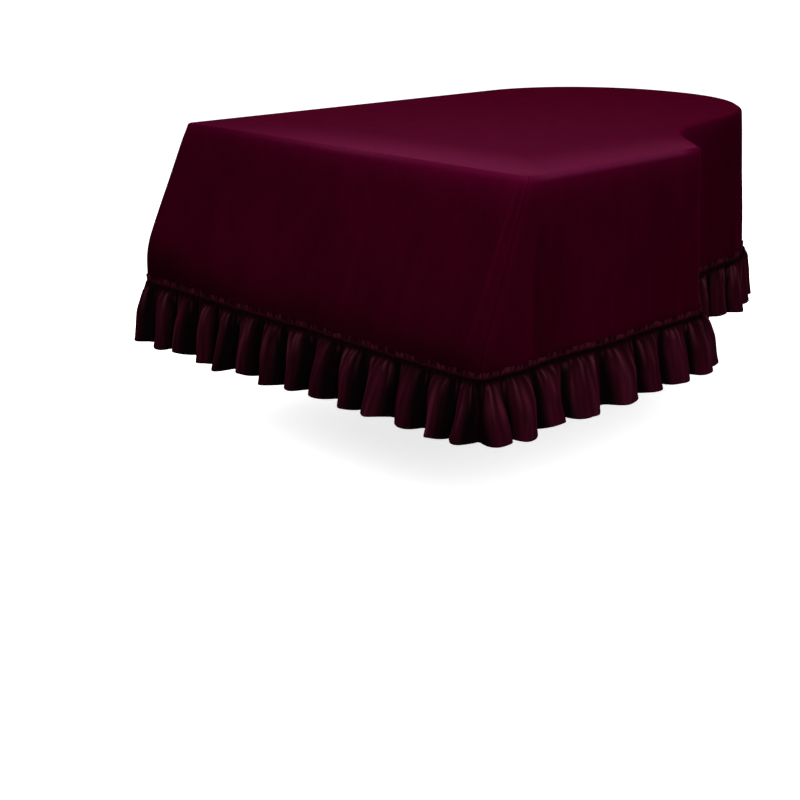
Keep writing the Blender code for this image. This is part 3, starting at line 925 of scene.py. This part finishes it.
def skirt_grid(places):
    """Inner face and normals of a skirt, from its allowance under the top over the roll to the foot."""
    centre, spoke, last_turn = roll_rows(places)
    roll = centre + spoke * EDGE_ROLL
    roll_drop = EDGE_ROLL * (1.0 - np.cos(last_turn))
    shares = (np.arange(1, SKIRT_ROWS + 1) / SKIRT_ROWS)[:, None]
    drops = roll_drop[None] + (SKIRT_FOOT_DROP - roll_drop[None]) * shares
    hanging = skirt(places[None], drops)
    _, outward = edge(places)
    slack = EDGE_ROLL * (1.0 / np.sin(last_turn) - 1.0)
    early = np.where(drops < EDGE_ROLL, (EDGE_ROLL - drops) / np.tan(last_turn)[None], 0.0)
    hanging[..., :2] += outward[None] * (slack[None] - early)[..., None]
    distances, tucks = np.array(TOP_UNDERLAP).T[:, :, None, None]
    level = np.column_stack((outward, np.zeros(len(places))))
    under = roll[:1] - level * distances - spoke[:1] * tucks
    inner = np.concatenate((under, roll, hanging))
    normals = face_normals(inner)
    normals[: len(under)] = spoke[0]
    normals[len(under) : len(under) + ROLL_ROWS + 1] = spoke
    return inner, normals


def rim_light(side, share):
    """How strong the rolled edge's painted highlight is: like the top on the cheek and near the front's
    middle.
    """
    if side == "cheek":
        return (RIM_BASE + (1.0 - RIM_BASE) * ease(share, *CHEEK_RIM_RISE)) * ease(share, *CHEEK_RIM_FALL)
    if side == "front":
        bright = FRONT_RIM_GLOW * bell((share - FRONT_RIM_MIDDLE) / FRONT_RIM_HALF_WIDTH)
        return (RIM_BASE + bright) * ease(share, *FRONT_RIM_RISE)
    return np.zeros_like(share)


def skirt_shades(side, places, share, drop):
    """Painted light and shade on a skirt's pile: painted light under the edge and on ridges, painted
    shade in troughs and folds, painted patches and the rim's painted highlight.
    """
    first, last = EDGE_GLOWS[side]
    fall = np.maximum(drop - EDGE_GLOW_START, 0.0)
    glow = (first + (last - first) * smooth(share)) * np.exp(-fall / EDGE_GLOW_DEPTH)
    crease = creases(places[None], drop) / RIDGE_HEIGHT
    fold = folds(places[None], np.maximum(drop, 0.0)) / FOLD_HEIGHT
    glow = glow + RIDGE_GLOW * np.clip(crease, 0.0, 1.0) + FOLD_GLOW * np.clip(fold, 0.0, 1.0)
    light = 1.0 - TROUGH_SHADE * np.clip(-crease, 0.0, 1.0)
    light = light * (1.0 - FOLD_SHADE * np.clip(-fold, 0.0, 1.0))
    # Patches of painted shade, or of painted light where the strength is negative
    for patch_side, centre, half_width, middle, half_height, strength in PAINTED_SHADE_AND_LIGHT_PATCHES:
        if patch_side == side:
            near = np.exp(-((share - centre) / half_width) ** 2 - ((drop - middle) / half_height) ** 2)
            light = light * (1.0 - max(strength, 0.0) * near)
            glow = glow + max(-strength, 0.0) * near
    # The rolled edge's painted highlight
    rim = rim_light(side, share) * smooth((RIM_DEPTH - drop) / RIM_FADE)
    return {"glow": np.clip(glow, 0.0, 1.0), "shade": 1.0 - light, "rim": rim}


def make_skirt(side):
    """One skirt panel, whose end is tucked behind the next panel."""
    start, end = side_span(side)
    start, end = start + SEAM_GAP / 2, end - SEAM_GAP / 2
    runs, depths = np.array(UNDERLAP).T
    places = np.linspace(start, end + runs[0], int((end - start) / SKIRT_STEP))
    inward = np.concatenate((np.zeros(len(places)), depths[1:]))
    places = np.concatenate((places, end + runs[1:]))
    inner, normals = skirt_grid(places)
    drop = -inner[..., 2]
    share = np.broadcast_to((places - start) / (end - start), drop.shape)
    shades = skirt_shades(side, places, share, drop)
    inner = inner - normals * inward[:, None]
    return sheet_mesh("skirt_" + side + "_velvet", inner, inner + normals * CLOTH, shades)


def flounce_drops():
    """Rows of a flounce: close together at the heading, the gather line and the hem."""
    heading = np.linspace(HEADING_DROP, GATHER_DROP, HEADING_ROWS)
    gather = GATHER_DROP + np.array(GATHER_ROWS)
    body = np.linspace(BODY_START, BODY_END, BODY_ROWS)
    hem = HEM_DROP - np.array(HEM_ROWS)
    return np.concatenate((heading, gather, body, hem))


def flounce_allowance(inner, normals, drops):
    """Points that continue a strip behind the next one, below the foot of the skirt between."""
    runs, depths = np.array(UNDERLAP[2:]).T
    tight = TIGHT_STEP * np.arange(1, len(runs) + 1)
    below_skirt = ease(drops, *ALLOWANCE_FADE)[:, None]
    runs, depths = tight + (runs - tight) * below_skirt, depths * below_skirt
    along = inner[:, -1] - inner[:, -2]
    along = along / np.linalg.norm(along, axis=-1, keepdims=True)
    return inner[:, -1:] + along[:, None] * runs[..., None] - normals[:, -1:] * depths[..., None]


def make_flounce(side):
    """One gathered strip, with a ruffled heading, a gather line, flutes and a narrow hem."""
    strip = Flounce(side)
    half_gap = JOINT_GAP / 2 * strip.count / strip.lengths[-1]
    columns = np.arange(strip.count * FLUTE_COLUMNS + 1) / FLUTE_COLUMNS
    columns[0], columns[-1] = half_gap, strip.count - half_gap
    drops = flounce_drops()
    inner = strip.grid(columns, drops)
    normals = face_normals(inner)
    from_hem = HEM_DROP - drops
    stitched = STITCH_DEPTH * bell((from_hem - STITCH_LINE) / STITCH_WIDTH)
    thickness = CLOTH + TURNED_CLOTH * ease(from_hem, *TURNED_HEM) - stitched
    outer = inner + normals * thickness[:, None, None]
    behind = flounce_allowance(inner, normals, drops)
    inner = np.concatenate((inner, behind), 1)
    outer = np.concatenate((outer, behind + normals[:, -1:] * CLOTH), 1)
    tucked = np.repeat(columns[-1:], behind.shape[1])
    column, drop = np.meshgrid(np.concatenate((columns, tucked)), drops)
    return sheet_mesh("flounce_" + side + "_velvet", inner, outer, strip.shades(column, drop))


# Velvet

# The pile's noises: scale, detail, stretch
NAP_NOISE = (11.0, 4.0, (1.0, 1.0, 0.45))
STREAK_NOISE = (60.0, 2.0, (1.0, 1.0, 0.15))
TIP_NOISE = (900.0, 2.0, (1.0, 1.0, 1.0))

# What each noise becomes: its low and high value, and the share or brightness there
NAP_SHARES = (0.35, 0.65, 0.0, 1.0)
STREAK_LIGHT = (0.25, 0.75, 0.93, 1.07)
TIP_LIGHT = (0.3, 0.7, 0.94, 1.06)
TIP_BUMP = 0.25
TIP_HEIGHT = 0.0006

PILE_ROUGHNESS = 0.9
SHEEN_ROUGHNESS = 0.42
# Colours of each pile: face is the cloth's own colour; glow and rim are painted light, shade is painted
# shade, each mixed in by the point attribute of the same name; tint and sheen set the shader's sheen, and
# mottle is the face's random unevenness
PILES = {
    "top": {
        "face": (0.0095, 0.0001, 0.0012),
        "glow": (0.0610, 0.0062, 0.0228),
        "shade": (0.0080, 0.0001, 0.0015),
        "tint": (1.0, 0.010, 0.18),
        "sheen": 0.045,
        "mottle": 0.30,
    },
    "skirt": {
        "face": (0.0178, 0.0001, 0.0034),
        "glow": (0.0520, 0.0004, 0.0112),
        "shade": (0.0030, 0.0003, 0.0009),
        "rim": (0.0550, 0.0034, 0.0175),
        "tint": (1.0, 0.010, 0.21),
        "sheen": 0.02,
        "mottle": 0.09,
    },
    "flounce": {
        "face": (0.0186, 0.0013, 0.0048),
        "glow": (0.0450, 0.0090, 0.0150),
        "shade": (0.0010, 0.0006, 0.0007),
        "tint": (1.0, 0.08, 0.28),
        "sheen": 0.02,
        "mottle": 0.16,
    },
}


def velvet(name, pile):
    """Pile cloth: dark face on, brighter at a glancing angle, with a brushed, mottled nap."""
    material = bpy.data.materials.new(name)
    material.use_nodes = True
    nodes, links = material.node_tree.nodes, material.node_tree.links
    shader = nodes["Principled BSDF"]
    shader.inputs["Roughness"].default_value = PILE_ROUGHNESS
    shader.inputs["Specular IOR Level"].default_value = 0.0
    shader.inputs["Sheen Weight"].default_value = pile["sheen"]
    shader.inputs["Sheen Roughness"].default_value = SHEEN_ROUGHNESS
    shader.inputs["Sheen Tint"].default_value = (*pile["tint"], 1.0)
    place = nodes.new("ShaderNodeTexCoord").outputs["Object"]

    def noise(scale, detail, stretch):
        mapping = nodes.new("ShaderNodeMapping")
        mapping.inputs["Scale"].default_value = stretch
        links.new(place, mapping.inputs["Vector"])
        texture = nodes.new("ShaderNodeTexNoise")
        texture.inputs["Scale"].default_value = scale
        texture.inputs["Detail"].default_value = detail
        links.new(mapping.outputs["Vector"], texture.inputs["Vector"])
        return texture.outputs["Fac"]

    def mix(kind, factor, first, second):
        node = nodes.new("ShaderNodeMix")
        node.data_type = "RGBA"
        node.blend_type = kind
        for socket, value in ((0, factor), (6, first), (7, second)):
            if isinstance(value, (float, tuple)):
                node.inputs[socket].default_value = value
            else:
                links.new(value, node.inputs[socket])
        return node.outputs[2]

    def ramp(value, low, high, floor, ceiling):
        node = nodes.new("ShaderNodeMapRange")
        node.inputs["From Min"].default_value = low
        node.inputs["From Max"].default_value = high
        node.inputs["To Min"].default_value = floor
        node.inputs["To Max"].default_value = ceiling
        links.new(value, node.inputs["Value"])
        return node.outputs["Result"]

    def dim(colour, value):
        grey = nodes.new("ShaderNodeCombineColor")
        for channel in ("Red", "Green", "Blue"):
            links.new(value, grey.inputs[channel])
        return mix("MULTIPLY", 1.0, colour, grey.outputs["Color"])

    tips = noise(*TIP_NOISE)
    darker, lighter = (
        tuple(channel * (1.0 + change) for channel in pile["face"]) + (1.0,)
        for change in (-pile["mottle"], pile["mottle"])
    )
    colour = mix("MIX", ramp(noise(*NAP_NOISE), *NAP_SHARES), darker, lighter)
    # Painted light (glow, rim) and painted shade (shade), mixed into the colour by the point attributes
    for key in ("glow", "shade", "rim"):
        if key in pile:
            attribute = nodes.new("ShaderNodeAttribute")
            attribute.attribute_name = key
            colour = mix("MIX", attribute.outputs["Fac"], colour, (*pile[key], 1.0))
    colour = dim(colour, ramp(noise(*STREAK_NOISE), *STREAK_LIGHT))
    colour = dim(colour, ramp(tips, *TIP_LIGHT))
    links.new(colour, shader.inputs["Base Color"])
    bump = nodes.new("ShaderNodeBump")
    bump.inputs["Strength"].default_value = TIP_BUMP
    bump.inputs["Distance"].default_value = TIP_HEIGHT
    links.new(tips, bump.inputs["Height"])
    links.new(bump.outputs["Normal"], shader.inputs["Normal"])
    return material


def dress(piece, node):
    """Gives a piece its velvet and its place in the frame, and hides its part from the CAD model."""
    kind = node.split("_")[0]
    piece.data.materials.append(velvet(node + "_pile", PILES[kind]))
    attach(piece, "root")
    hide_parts(node)


# Stage


def make_floor():
    """A white floor whose far edge rises as a backdrop all round. It lights nothing itself."""
    turns = np.linspace(0.0, 2 * math.pi, FLOOR_CORNERS + 1)[:-1]
    points = np.concatenate([
        np.column_stack((radius * np.cos(turns), radius * np.sin(turns), np.full(len(turns), height)))
        for radius, height in FLOOR_RINGS
    ])
    faces = quads(closed_rings(len(FLOOR_RINGS), FLOOR_CORNERS), DOWNWARD).tolist()
    faces.append(list(range(FLOOR_CORNERS)))
    mesh = bpy.data.meshes.new("floor")
    mesh.from_pydata(points.tolist(), [], faces)
    mesh.shade_smooth()
    floor = bpy.data.objects.new("floor", mesh)
    floor.location = (0, 0, FLOOR_LEVEL)
    floor.visible_diffuse = False
    floor.visible_glossy = False
    floor.visible_shadow = False
    bpy.context.scene.collection.objects.link(floor)
    material = bpy.data.materials.new("floor_white")
    material.use_nodes = True
    shader = material.node_tree.nodes["Principled BSDF"]
    shader.inputs["Base Color"].default_value = (FLOOR_GREY, FLOOR_GREY, FLOOR_GREY, 1.0)
    shader.inputs["Roughness"].default_value = FLOOR_ROUGHNESS
    shader.inputs["Specular IOR Level"].default_value = 0.0
    shader.inputs["Emission Color"].default_value = (1.0, 1.0, 1.0, 1.0)
    shader.inputs["Emission Strength"].default_value = FLOOR_GLOW
    mesh.materials.append(material)
    floor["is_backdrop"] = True


def make_lights():
    """Soft round lamps and an even white surround."""
    for name, place, aim, size, power in LIGHTS:
        light = bpy.data.lights.new(name, "AREA")
        light.shape = "DISK"
        light.size = size
        light.energy = power
        lamp = bpy.data.objects.new(name, light)
        lamp.location = place
        lamp.rotation_euler = (Vector(aim) - Vector(place)).to_track_quat("-Z", "Y").to_euler()
        bpy.context.scene.collection.objects.link(lamp)
    world = bpy.data.worlds.new("studio")
    world.use_nodes = True
    background = world.node_tree.nodes["Background"]
    background.inputs["Color"].default_value = (1.0, 1.0, 1.0, 1.0)
    background.inputs["Strength"].default_value = WORLD_LIGHT
    bpy.context.scene.world = world
    bpy.context.scene.view_settings.view_transform = "Standard"


def make_camera():
    """The photograph's viewing angle."""
    camera = bpy.data.objects.new("camera", bpy.data.cameras.new("camera"))
    camera.location = CAMERA_PLACE
    pitch = math.radians(90 - CAMERA_PITCH_DEG)
    camera.rotation_euler = (pitch, 0.0, math.radians(CAMERA_YAW_DEG))
    camera.data.lens = CAMERA_LENS
    camera.data.clip_end = CAMERA_FAR_END
    bpy.context.scene.collection.objects.link(camera)
    bpy.context.scene.camera = camera


def main():
    """Builds the camera, the stage and the eleven sheets."""
    make_camera()
    make_lights()
    make_floor()
    dress(make_top(), "top_panel")
    for side, _, _, _ in SIDES:
        dress(make_skirt(side), "skirt_" + side)
        dress(make_flounce(side), "flounce_" + side)
    boxes = {"cad": CAD_BOX, "visual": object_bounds()}
    boxes = {key: [list(corner) for corner in box] for key, box in boxes.items()}


main()
